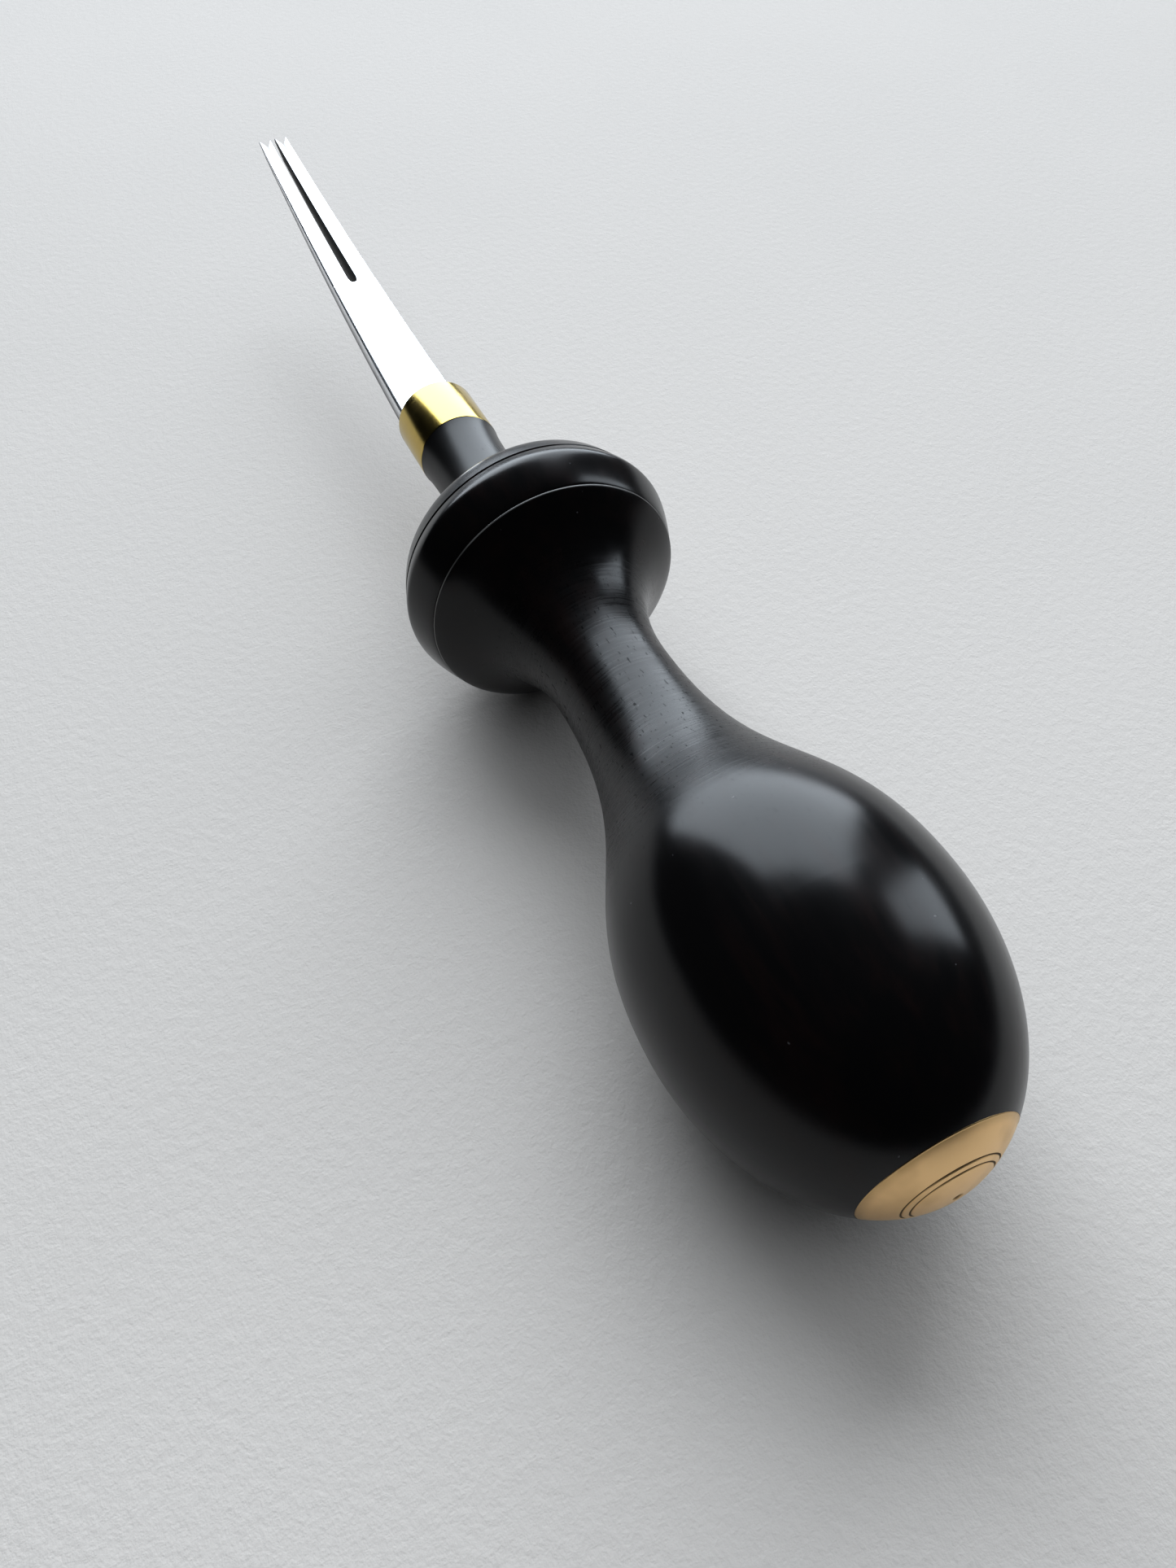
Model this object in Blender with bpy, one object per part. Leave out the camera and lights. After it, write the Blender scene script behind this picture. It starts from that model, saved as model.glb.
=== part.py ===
"""A two-pronged hand cutter: a turned ebony handle, a brass end cap and ferrule, and a forked steel blade.

It lies on its side as on a table, on the bulb and the bead of its handle, with its tip towards +X and
the flat of its blade up. Lengths are in metres. Stations are distances along the tool's own axis from
the crown of the end cap.
"""

import math

import bmesh
import bpy
from mathutils import Vector
from mathutils.geometry import interpolate_bezier

# Fits
FIT_GAP = 0.0003  # between every two pieces that touch
SIDES = 36  # flats round each turned piece, with one of them underneath

# Handle, outside
BULB_LENGTH = 0.0193  # from the crown to the fattest station
BULB_RADIUS = 0.0141
WAIST_LENGTH = 0.0339  # from the fattest station to the thinnest
WAIST_RADIUS = 0.0057
COVE_LENGTH = 0.0131  # from the thinnest station to the arris
ARRIS_RADIUS = 0.0130
BEAD_WIDTH = 0.0052
BEAD_RISE = 0.0008  # crown of the bead above its two edges
BEAD_FRONT_RADIUS = 0.0138
QUIRK_WIDTH = 0.0003  # fine grooves on both sides of the bead
QUIRK_DEPTH = 0.0003
LIP_WIDTH = 0.0023  # rounded disc in front of the bead
LIP_DROP = 0.0010  # how much smaller its front edge is
NOSE_LENGTH = 0.0179  # from the front of the flange to the ferrule
NOSE_ROOT_RADIUS = 0.0075
NOSE_SHRINK = 0.0001  # thinnest part of the nose below the ferrule's radius

# How full the curves of the outline are, as shares of the length of their own stretch
BULB_FULLNESS = 0.45
WAIST_FULLNESS = 0.57
COVE_FULLNESS = 0.69
COVE_RUN_OUT = 0.15  # the cove meets the arris at 45 degrees over this share
NOSE_HOLLOW = 0.1
NOSE_FULLNESS = 0.4
BEAD_STEPS = 10

# Ferrule, and the tenon inside it
FERRULE_RADIUS = 0.00465
FERRULE_WALL = 0.0005
FERRULE_LENGTH = 0.0075
TENON_RECESS = 0.0012  # front of the tenon behind the front of the ferrule

# End cap
CAP_RADIUS = 0.0067
CAP_RIM = 0.0012  # straight rim below the dome
CAP_SPIGOT_RADIUS = 0.0030
CAP_SPIGOT_LENGTH = 0.0080

# Blade
BLADE_LENGTH = 0.0636  # from the front of the ferrule to the points
BLADE_CLEARANCE = 0.0004  # from each side of the blade to the bore of the ferrule
BLADE_TIP_WIDTH = 0.0039
BLADE_ROOT_THICKNESS = 0.0034  # at the middle of its rounded belly
BLADE_TIP_THICKNESS = 0.0012
BLADE_THINNING_POWER = 2.2  # 1 would thin it evenly, more keeps it thick for longer
BLADE_BELLY = 0.45  # share of the thickness that the belly rounds over
BLADE_TOP_HEIGHT = 0.0007  # top face above the axis at the root
BLADE_SWEEP = 0.0059  # rise of the top face from root to points
BLADE_SWEEP_POWER = 1.6  # 1 would be straight, 2 a parabola
BLADE_ROOT_EDGE = 0.0007  # width of the slope along each long edge of the top
BLADE_TIP_EDGE = 0.00012
STEEPEST_EDGE = 0.45  # most of the thickness that the slope takes
BLADE_STEPS = 30
SLOT_LENGTH = 0.0347  # from its inner end to the points of the prongs
SLOT_ROOT_WIDTH = 0.00105  # at its rounded inner end
SLOT_TIP_WIDTH = 0.00055
SLOT_END_STEPS = (0, 0.15, 0.5, 1)  # cross-sections round the inner end, as shares of its radius
SLOT_END_SPACE = 0.0010  # no other cross-section is closer to the inner end
FLUTE_LENGTH = 0.0110  # V-shaped flute along the top of each prong
FLUTE_DEPTH = 0.00045
NOTCH_DEPTH = 0.0016  # V in the end of each prong
END_GRIND = 0.0030  # length ground thin from below, behind the points
END_THICKNESS = 0.00055

# Tang, and its bed of resin in the bore of the handle
TANG_WIDTH = 0.0030
TANG_THICKNESS = 0.0018
TANG_LENGTH = 0.0330  # behind the shoulder of the blade
TANG_EDGE = 0.0003
SHOULDER_LENGTH = 0.0008
RESIN_WALL = 0.0004  # thinnest resin, at the corners of the tang

# Stations
WAIST_STATION = BULB_LENGTH + WAIST_LENGTH
ARRIS_STATION = WAIST_STATION + COVE_LENGTH
BEAD_START = ARRIS_STATION + QUIRK_WIDTH
BEAD_END = BEAD_START + BEAD_WIDTH
LIP_START = BEAD_END + QUIRK_WIDTH
FLANGE_FRONT = LIP_START + LIP_WIDTH
FERRULE_START = FLANGE_FRONT + NOSE_LENGTH
FERRULE_END = FERRULE_START + FERRULE_LENGTH
TENON_END = FERRULE_END - TENON_RECESS
SHOULDER_STATION = TENON_END + FIT_GAP
TANG_END = SHOULDER_STATION - TANG_LENGTH
TIP_STATION = FERRULE_END + BLADE_LENGTH

# Fits that follow from the sizes above
BLADE_ROOT_WIDTH = 2 * (FERRULE_RADIUS - FERRULE_WALL - BLADE_CLEARANCE)
TENON_RADIUS = FERRULE_RADIUS - FERRULE_WALL - FIT_GAP
RESIN_RADIUS = math.hypot(TANG_WIDTH, TANG_THICKNESS) / 2 + FIT_GAP + RESIN_WALL
BORE_RADIUS = RESIN_RADIUS + FIT_GAP
BORE_END = TANG_END - 2 * FIT_GAP - RESIN_WALL

# Meshing
MERGE_DISTANCE = 0.000001
SMOOTH_ANGLE = math.radians(25)


def paint(name, colour, roughness, metallic):
    material = bpy.data.materials.new(name)
    material.use_nodes = True
    shader = material.node_tree.nodes["Principled BSDF"]
    shader.inputs["Base Color"].default_value = (*colour, 1)
    shader.inputs["Roughness"].default_value = roughness
    shader.inputs["Metallic"].default_value = metallic
    return material


def butt_station(radius):
    """Station where the half ellipsoid that the end cap and the bulb share has this radius."""
    return BULB_LENGTH * (1 - math.sqrt(1 - (radius / BULB_RADIUS) ** 2))


def butt_arc(start, end, steps):
    """Points of the ellipsoid from one station to another, evenly spaced in angle."""
    first = math.acos(1 - start / BULB_LENGTH)
    last = math.acos(1 - end / BULB_LENGTH)
    angles = [first + (last - first) * step / steps for step in range(steps + 1)]
    return [(BULB_LENGTH * (1 - math.cos(angle)), BULB_RADIUS * math.sin(angle)) for angle in angles]


def curve(start, leave, arrive, end, steps):
    """A Bezier stretch of an outline, given as (station, radius) pairs."""
    points = interpolate_bezier(*[Vector(pair) for pair in (start, leave, arrive, end)], steps + 1)
    return [(point.x, point.y) for point in points]


def bead_outline():
    """Half an ellipse raised on the straight line between the edges of the bead."""
    points = []
    for step in range(BEAD_STEPS + 1):
        angle = math.pi * step / BEAD_STEPS
        share = (1 - math.cos(angle)) / 2
        edge = ARRIS_RADIUS + (BEAD_FRONT_RADIUS - ARRIS_RADIUS) * share
        points.append((BEAD_START + BEAD_WIDTH * share, edge + BEAD_RISE * math.sin(angle)))
    return points


def lip_outline(steps):
    """Quarter of an ellipse from the front quirk down to the front edge of the flange."""
    points = []
    for step in range(steps + 1):
        angle = math.pi / 2 * step / steps
        drop = LIP_DROP * (1 - math.cos(angle))
        points.append((LIP_START + LIP_WIDTH * math.sin(angle), BEAD_FRONT_RADIUS - drop))
    return points


def outside_of_handle():
    """The turned outline from the mouth of the cap's recess to the front of the tenon."""
    mouth = butt_station(CAP_RADIUS + FIT_GAP)
    points = butt_arc(mouth, BULB_LENGTH, 9)
    points += curve(
        (BULB_LENGTH, BULB_RADIUS),
        (BULB_LENGTH + BULB_FULLNESS * WAIST_LENGTH, BULB_RADIUS),
        (WAIST_STATION - WAIST_FULLNESS * WAIST_LENGTH, WAIST_RADIUS),
        (WAIST_STATION, WAIST_RADIUS),
        14,
    )[1:]
    run_out = COVE_RUN_OUT * COVE_LENGTH
    points += curve(
        (WAIST_STATION, WAIST_RADIUS),
        (WAIST_STATION + COVE_FULLNESS * COVE_LENGTH, WAIST_RADIUS),
        (ARRIS_STATION - run_out, ARRIS_RADIUS - run_out),
        (ARRIS_STATION, ARRIS_RADIUS),
        10,
    )[1:]
    points.append((ARRIS_STATION + QUIRK_WIDTH / 2, ARRIS_RADIUS - QUIRK_DEPTH))
    points += bead_outline()
    points.append((BEAD_END + QUIRK_WIDTH / 2, BEAD_FRONT_RADIUS - QUIRK_DEPTH))
    points += lip_outline(5)
    thinnest = FERRULE_RADIUS - NOSE_SHRINK
    points += curve(
        (FLANGE_FRONT, NOSE_ROOT_RADIUS),
        (FLANGE_FRONT + NOSE_HOLLOW * NOSE_LENGTH, thinnest),
        (FERRULE_START - NOSE_FULLNESS * NOSE_LENGTH, thinnest),
        (FERRULE_START, FERRULE_RADIUS),
        8,
    )
    points.append((FERRULE_START, TENON_RADIUS))
    points.append((TENON_END, TENON_RADIUS))
    return points


def mesh_object(name, bm, material, parent):
    bmesh.ops.recalc_face_normals(bm, faces=bm.faces)
    mesh = bpy.data.meshes.new(name)
    bm.to_mesh(mesh)
    bm.free()
    mesh.shade_smooth()
    mesh.set_sharp_from_angle(angle=SMOOTH_ANGLE)
    mesh.materials.append(material)
    made = bpy.data.objects.new(name, mesh)
    made.parent = parent
    bpy.context.scene.collection.objects.link(made)
    return made


def turned(name, outline, closed, material, parent):
    """A solid of revolution about the tool's axis, with a flat and not a corner underneath."""
    bm = bmesh.new()
    half_side = math.pi / SIDES
    ring = [
        bm.verts.new((station, radius * math.sin(half_side), -radius * math.cos(half_side)))
        for station, radius in outline
    ]
    edges = [bm.edges.new(pair) for pair in zip(ring, ring[1:])]
    if closed:
        edges.append(bm.edges.new((ring[-1], ring[0])))
    bmesh.ops.spin(bm, geom=ring + edges, axis=(1, 0, 0), cent=(0, 0, 0), steps=SIDES, angle=2 * math.pi)
    bmesh.ops.remove_doubles(bm, verts=bm.verts, dist=MERGE_DISTANCE)
    return mesh_object(name, bm, material, parent)


def make_handle(material, parent):
    recess = butt_station(CAP_RADIUS) + CAP_RIM + FIT_GAP
    spigot_end = recess + CAP_SPIGOT_LENGTH
    outline = [
        (spigot_end, 0),
        (spigot_end, CAP_SPIGOT_RADIUS + FIT_GAP),
        (recess, CAP_SPIGOT_RADIUS + FIT_GAP),
        (recess, CAP_RADIUS + FIT_GAP),
    ]
    outline += outside_of_handle()
    outline += [(TENON_END, BORE_RADIUS), (BORE_END, BORE_RADIUS), (BORE_END, 0)]
    return turned("handle", outline, False, material, parent)


def make_end_cap(material, parent):
    rim = butt_station(CAP_RADIUS)
    seat = rim + CAP_RIM
    spigot_end = seat + CAP_SPIGOT_LENGTH
    outline = butt_arc(0, rim, 8)
    outline += [(seat, CAP_RADIUS), (seat, CAP_SPIGOT_RADIUS)]
    outline += [(spigot_end, CAP_SPIGOT_RADIUS), (spigot_end, 0)]
    return turned("end_cap", outline, False, material, parent)


def make_ferrule(material, parent):
    inside = FERRULE_RADIUS - FERRULE_WALL
    start = FERRULE_START + FIT_GAP
    outline = [(start, inside), (start, FERRULE_RADIUS)]
    outline += [(FERRULE_END, FERRULE_RADIUS), (FERRULE_END, inside)]
    return turned("ferrule", outline, True, material, parent)


def make_tang_bedding(material, parent):
    """Resin cast round the tang: a round plug with a pocket of the tang's own shape."""
    start = BORE_END + FIT_GAP
    outline = [(start, 0), (start, RESIN_RADIUS), (TENON_END, RESIN_RADIUS), (TENON_END, 0)]
    bedding = turned("tang_bedding", outline, False, material, parent)
    bm = bmesh.new()
    bmesh.ops.create_cube(bm, size=1)
    length = TENON_END - TANG_END + 3 * FIT_GAP
    sizes = (length, TANG_WIDTH + 2 * FIT_GAP, TANG_THICKNESS + 2 * FIT_GAP)
    bmesh.ops.scale(bm, verts=bm.verts, vec=sizes)
    bmesh.ops.translate(bm, verts=bm.verts, vec=(TANG_END - FIT_GAP + length / 2, 0, 0))
    pocket = mesh_object("tang_pocket", bm, material, parent)
    pocket.hide_render = True
    pocket.display_type = "WIRE"
    cut = bedding.modifiers.new("tang pocket", "BOOLEAN")
    cut.operation = "DIFFERENCE"
    cut.object = pocket
    return bedding


def blade_share(station):
    """0 at the front of the ferrule, 1 at the points, and 0 all along what is inside the ferrule."""
    return max(0, (station - FERRULE_END) / BLADE_LENGTH)


def blade_half_width(station):
    return (BLADE_ROOT_WIDTH + (BLADE_TIP_WIDTH - BLADE_ROOT_WIDTH) * blade_share(station)) / 2


def blade_top(station):
    return BLADE_TOP_HEIGHT + BLADE_SWEEP * blade_share(station) ** BLADE_SWEEP_POWER


def blade_edge(station):
    return BLADE_ROOT_EDGE + (BLADE_TIP_EDGE - BLADE_ROOT_EDGE) * blade_share(station)


def blade_thickness(station):
    thinned = blade_share(station) ** BLADE_THINNING_POWER
    thickness = BLADE_ROOT_THICKNESS + (BLADE_TIP_THICKNESS - BLADE_ROOT_THICKNESS) * thinned
    ground = max(0, 1 - (TIP_STATION - station) / END_GRIND)
    return thickness + (END_THICKNESS - thickness) * ground


def slot_half_width(station):
    """Half the width of the slot, which starts in a half circle and narrows towards the points."""
    run = station - (TIP_STATION - SLOT_LENGTH)
    if run <= 0:
        return 0
    root = SLOT_ROOT_WIDTH / 2
    if run < root:
        return math.sqrt(root**2 - (root - run) ** 2)
    return root + (SLOT_TIP_WIDTH - SLOT_ROOT_WIDTH) / 2 * (run - root) / (SLOT_LENGTH - root)


def blade_row(station, half_width, top, bottom, edge):
    """A cross-section: for each prong, pairs of points above and below, from its outside to the slot."""
    slot = slot_half_width(station)
    belly = BLADE_BELLY * (top - bottom)
    drop = min(edge, STEEPEST_EDGE * (top - bottom))
    flute = FLUTE_DEPTH * max(0, 1 - (TIP_STATION - station) / FLUTE_LENGTH)
    notch = NOTCH_DEPTH if station == TIP_STATION else 0
    inner = half_width - edge
    middle = (inner + slot) / 2
    notched = station - notch
    columns = [
        (station, half_width, top - drop),
        (station, inner, top),
        (notched, middle, top - flute),
        (station, slot, top),
    ]
    row = []
    for side in (-1, 1):
        for x, y, above in columns:
            below = bottom + belly * (1 - math.sqrt(1 - (y / half_width) ** 2))
            row.append([(x, side * y, above), (x, side * y, below)])
    return row


def blade_stations():
    """Even steps along the blade, with extra ones round the inner end of the slot and at the grind."""
    root = SHOULDER_STATION + SHOULDER_LENGTH
    even = [root + (TIP_STATION - root) * step / BLADE_STEPS for step in range(BLADE_STEPS)]
    slot_end = TIP_STATION - SLOT_LENGTH
    round_end = [slot_end + SLOT_ROOT_WIDTH / 2 * share for share in SLOT_END_STEPS]
    clear = [station for station in even if abs(station - slot_end) > SLOT_END_SPACE]
    return sorted(clear + round_end + [TIP_STATION - END_GRIND, TIP_STATION])


def blade_rows():
    half_tang = TANG_THICKNESS / 2
    rows = [
        blade_row(station, TANG_WIDTH / 2, half_tang, -half_tang, TANG_EDGE)
        for station in (TANG_END, SHOULDER_STATION)
    ]
    for station in blade_stations():
        top = blade_top(station)
        bottom = top - blade_thickness(station)
        rows.append(blade_row(station, blade_half_width(station), top, bottom, blade_edge(station)))
    return rows


def make_blade(material, parent):
    """Blade and tang in one piece, lofted through its cross-sections."""
    bm = bmesh.new()
    rows = [[[bm.verts.new(point) for point in pair] for pair in row] for row in blade_rows()]
    left, right = (0, 1, 2, 3), (4, 5, 6, 7)
    for near, far in zip(rows, rows[1:]):
        for columns in (left, right):
            for a, b in zip(columns, columns[1:]):
                for level in (0, 1):
                    bm.faces.new((near[a][level], near[b][level], far[b][level], far[a][level]))
            edge, slot = columns[0], columns[-1]
            bm.faces.new((near[edge][0], near[edge][1], far[edge][1], far[edge][0]))
            if far[slot][0].co.y != 0:
                bm.faces.new((near[slot][0], near[slot][1], far[slot][1], far[slot][0]))
    for row in (rows[0], rows[-1]):
        for columns in (left, right):
            for a, b in zip(columns, columns[1:]):
                bm.faces.new((row[a][0], row[a][1], row[b][1], row[b][0]))
    bmesh.ops.remove_doubles(bm, verts=bm.verts, dist=MERGE_DISTANCE)
    return mesh_object("blade", bm, material, parent)


def lay_down():
    """The tool's axis as an empty, tilted so that the bulb and the bead both touch the table."""
    bead_station, bead_radius = max(bead_outline(), key=lambda point: point[1])
    flat = math.cos(math.pi / SIDES)
    tilt = math.asin((bead_radius - BULB_RADIUS) * flat / (bead_station - BULB_LENGTH))
    axis = bpy.data.objects.new("tool_axis", None)
    bpy.context.scene.collection.objects.link(axis)
    axis.rotation_euler = (0, -tilt, 0)
    height = BULB_RADIUS * flat / math.cos(tilt) - BULB_LENGTH * math.sin(tilt)
    axis.location = (-TIP_STATION / 2, 0, height)
    return axis


def main():
    for old in list(bpy.data.objects):
        bpy.data.objects.remove(old, do_unlink=True)
    ebony = paint("ebony", (0.012, 0.010, 0.010), 0.34, 0)
    brass = paint("brass", (0.78, 0.57, 0.26), 0.22, 1)
    steel = paint("steel", (0.72, 0.73, 0.75), 0.20, 1)
    resin = paint("resin", (0.03, 0.03, 0.03), 0.5, 0)
    axis = lay_down()
    make_handle(ebony, axis)
    make_end_cap(brass, axis)
    make_ferrule(brass, axis)
    make_tang_bedding(resin, axis)
    make_blade(steel, axis)


main()
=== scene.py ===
import math

import bmesh
import bpy
from mathutils import Euler, Matrix, Vector
from mathutils.geometry import interpolate_bezier


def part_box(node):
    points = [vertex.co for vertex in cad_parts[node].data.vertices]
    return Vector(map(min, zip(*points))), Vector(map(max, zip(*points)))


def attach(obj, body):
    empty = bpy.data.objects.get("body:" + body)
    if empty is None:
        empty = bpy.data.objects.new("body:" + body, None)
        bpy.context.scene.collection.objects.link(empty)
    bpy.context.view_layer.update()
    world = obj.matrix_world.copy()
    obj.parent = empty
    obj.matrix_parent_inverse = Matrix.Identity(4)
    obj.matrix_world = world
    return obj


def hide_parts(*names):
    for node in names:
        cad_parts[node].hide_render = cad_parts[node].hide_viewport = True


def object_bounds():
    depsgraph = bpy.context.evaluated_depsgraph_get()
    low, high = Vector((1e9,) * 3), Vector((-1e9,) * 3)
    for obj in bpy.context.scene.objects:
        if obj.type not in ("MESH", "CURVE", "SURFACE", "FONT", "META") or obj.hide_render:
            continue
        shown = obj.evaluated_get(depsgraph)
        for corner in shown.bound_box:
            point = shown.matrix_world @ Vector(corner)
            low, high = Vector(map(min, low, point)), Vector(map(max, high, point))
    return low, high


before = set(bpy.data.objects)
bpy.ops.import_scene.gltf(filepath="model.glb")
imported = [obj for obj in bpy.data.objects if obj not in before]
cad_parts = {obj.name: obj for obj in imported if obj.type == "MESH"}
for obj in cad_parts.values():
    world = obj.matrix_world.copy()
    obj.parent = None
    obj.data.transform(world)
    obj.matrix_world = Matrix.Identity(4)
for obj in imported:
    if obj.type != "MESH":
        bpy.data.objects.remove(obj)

cadBounds = [list(corner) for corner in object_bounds()]
print("frame loaded:", ", ".join(sorted(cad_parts)))

# The tool's own axis starts at the crown of the end cap and runs through the middle of both brass
# pieces. Stations are distances along it, in metres.
def middleOf(node):
    low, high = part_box(node)
    return (low + high) / 2


axisLine = (middleOf("ferrule") - middleOf("end_cap")).normalized()
tilt = math.asin(axisLine.z)
crown = middleOf("end_cap") - axisLine * (middleOf("end_cap").x - cadBounds[0][0]) / axisLine.x
toPlace = Matrix.Translation(crown) @ Euler((0, -tilt, 0)).to_matrix().to_4x4()

tool = {
    "flatSides": 36,        # sides of the plain turned solids: the round ones keep inside their flats
    "seam": 0.00003,        # what shows between two pieces that touch
    "sides": 160,
    "allowance": 0.0004,    # share by which the round pieces keep inside the plain ones
    "onAxis": 0.000001,     # a radius below this counts as none
    "weld": 0.0000005,      # points closer than this are merged at the seam and the poles
}
inFlats = math.cos(math.pi / tool["flatSides"]) * (1 - tool["allowance"])


# outlines are lists of (station, radius) pairs
def bezier(start, leave, arrive, end, steps):
    points = interpolate_bezier(*[Vector(pair) for pair in (start, leave, arrive, end)], steps + 1)
    return [(point.x, point.y) for point in points]


def ellipse(centre, size, start, end, steps):
    # part of an ellipse round its centre, with angles in degrees from the direction of the stations
    angles = [math.radians(start + (end - start) * step / steps) for step in range(steps + 1)]
    return [(centre[0] + size[0] * math.cos(a), centre[1] + size[1] * math.sin(a)) for a in angles]


def thinned(outline, least=0.000004):
    # leaves out the points that lie on the one before
    kept = [outline[0]]
    for point in outline[1:]:
        if math.dist(point, kept[-1]) > least:
            kept.append(point)
    return kept


butt = {
    "length": 0.0193,       # the half ellipsoid that the cap and the bulb share
    "radius": 0.0141,
    "widest": 0.99999,      # share of the radius at which its arc ends, where the bulb's curve goes on
    "steps": 56,
}


def buttAngle(radius):
    return 180 - math.degrees(math.asin(radius / butt["radius"]))


def buttArc(fromRadius, toRadius, steps):
    return ellipse((butt["length"], 0), (butt["length"], butt["radius"]),
                   buttAngle(fromRadius), buttAngle(toRadius), steps)


def buttStation(radius):
    return butt["length"] * (1 - math.sqrt(1 - (radius / butt["radius"]) ** 2))


capSizes = {
    "radius": 0.0067,
    "rim": 0.0012,          # straight rim below the dome
    "edge": 0.00010,        # rounding where the dome meets the wood
    "spigotRadius": 0.0030,
    "spigotLength": 0.0080,
    "rings": (0.0034, 0.0040),      # radii of the two turned rings
    "ringWidth": 0.00022,
    "ringDepth": 0.00008,
    "dimple": 0.00045,      # radius of the centre mark
    "dimpleDepth": 0.00022,
    "edgeStart": 150,       # degrees, where the rounding takes over from the dome
    "edgeSteps": 5,
    "faceSteps": 120,
}


def capOutline():
    sizes = capSizes
    rim = sizes["radius"] - sizes["edge"]
    outline = []
    for step in range(sizes["faceSteps"] + 1):
        radius = rim * step / sizes["faceSteps"]
        station = buttStation(radius)
        for ring in sizes["rings"]:
            across = abs(radius - ring) / (sizes["ringWidth"] / 2)
            station += sizes["ringDepth"] * max(0, 1 - across ** 2)
        station += sizes["dimpleDepth"] * max(0, 1 - (radius / sizes["dimple"]) ** 2)
        outline.append((station, radius))
    edge = buttStation(rim)
    outline += ellipse((edge + sizes["edge"], rim), (sizes["edge"], sizes["edge"]),
                       sizes["edgeStart"], 90, sizes["edgeSteps"])
    seat = buttStation(sizes["radius"]) + sizes["rim"]
    outline += [(seat, sizes["radius"]), (seat, sizes["spigotRadius"])]
    spigotEnd = seat + sizes["spigotLength"]
    outline += [(spigotEnd, sizes["spigotRadius"]), (spigotEnd, 0)]
    return thinned(outline)


flange = {
    "arris": 0.0130,
    "arrisEdge": 0.00025,   # rounding of the sharp arris
    "arrisReach": 0.3,      # share of that rounding that lies to each side of the arris
    "coveSlope": 45,        # degrees, where the cove reaches the arris
    "arrisSteps": 8,
    "beadWidth": 0.0052,
    "beadFront": 0.0138,    # radius of the bead's front edge
    "crest": 0.01429,       # largest radius of the bead
    "crestPlace": 0.68,     # share of the bead's width that lies behind its crest
    "crestPull": 0.00055,   # a short one keeps the crest narrow
    "backSlope": 45,        # degrees, where the bead leaves the arris
    "backRound": 0.00035,   # how soon it turns to the straight part of its back
    "frontSlope": 20,
    "frontShare": 0.25,     # share of the front that keeps this slope
    "beadSteps": 26,
    "quirkWidth": 0.0003,
    "quirkDepth": 0.00012,
    "lipWidth": 0.0023,
    "lipDrop": 0.0012,
    "lipSlope": 18,         # degrees that it already slopes where it starts
    "lipStraight": 0.55,    # share of its width that stays straight
    "lipSeat": 0.4,         # share of the quirk's depth by which it starts lower than the bead
    "lipSteps": 18,
}
handleSizes = {
    "waistLength": 0.0339,
    "waistRadius": 0.0057,
    "coveLength": 0.0131,
    "noseLength": 0.0179,
    "noseRoot": 0.0075,
    "noseShrink": 0.00055,
    "bulbFullness": 0.45,   # how full each curve is, as a share of the length of its stretch
    "waistFullness": 0.57,
    "coveFullness": 0.69,
    "coveRunOut": 0.15,
    "noseHollow": 0.2,
    "noseFullness": 0.16,
    "chatter": 0.000012,    # how unevenly the lathe cut, and how closely
    "chatterScale": 340.0,
    "waistSteps": 70,
    "coveSteps": 44,
    "noseSteps": 44,
}
ferruleSizes = {
    "radius": 0.00465,
    "wall": 0.0005,
    "length": 0.0075,
    "edge": 0.00014,        # rounding of both rims
    "edgeSteps": 6,
    "tenonRecess": 0.0012,
}

waistStation = butt["length"] + handleSizes["waistLength"]
arrisStation = waistStation + handleSizes["coveLength"]
beadStart = arrisStation + flange["quirkWidth"]
beadEnd = beadStart + flange["beadWidth"]
lipStart = beadEnd + flange["quirkWidth"]
flangeFront = lipStart + flange["lipWidth"]
ferruleStart = flangeFront + handleSizes["noseLength"]
ferruleEnd = ferruleStart + ferruleSizes["length"]
tenonEnd = ferruleEnd - ferruleSizes["tenonRecess"]
resinLow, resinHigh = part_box("tang_bedding")
boreRadius = (resinHigh.y - resinLow.y) / 2 / inFlats + tool["seam"]
boreEnd = resinLow.x - crown.x - tool["seam"]


def slopeOf(degrees):
    return math.tan(math.radians(degrees))


def beadCurve():
    # two nearly straight slopes that meet in a narrow rounded crest
    crestStation = beadStart + flange["crestPlace"] * flange["beadWidth"]
    behind = flange["backRound"]
    ahead = (beadEnd - crestStation) * flange["frontShare"]
    back = bezier(
        (beadStart, flange["arris"]),
        (beadStart + behind, flange["arris"] + behind * slopeOf(flange["backSlope"])),
        (crestStation - flange["crestPull"], flange["crest"]),
        (crestStation, flange["crest"]),
        flange["beadSteps"],
    )
    front = bezier(
        (crestStation, flange["crest"]),
        (crestStation + flange["crestPull"], flange["crest"]),
        (beadEnd - ahead, flange["beadFront"] + ahead * slopeOf(flange["frontSlope"])),
        (beadEnd, flange["beadFront"]),
        flange["beadSteps"],
    )
    return back + front


def lipCurve():
    # slopes evenly to its front, where it turns down into the flat face
    slope = slopeOf(flange["lipSlope"])
    straight = flange["lipWidth"] * flange["lipStraight"]
    top = flange["beadFront"] - flange["quirkDepth"] * flange["lipSeat"]
    return bezier(
        (lipStart, top),
        (lipStart + straight, top - slope * straight),
        (flangeFront, top - slope * flange["lipWidth"]),
        (flangeFront, top - flange["lipDrop"]),
        flange["lipSteps"],
    )


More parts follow.
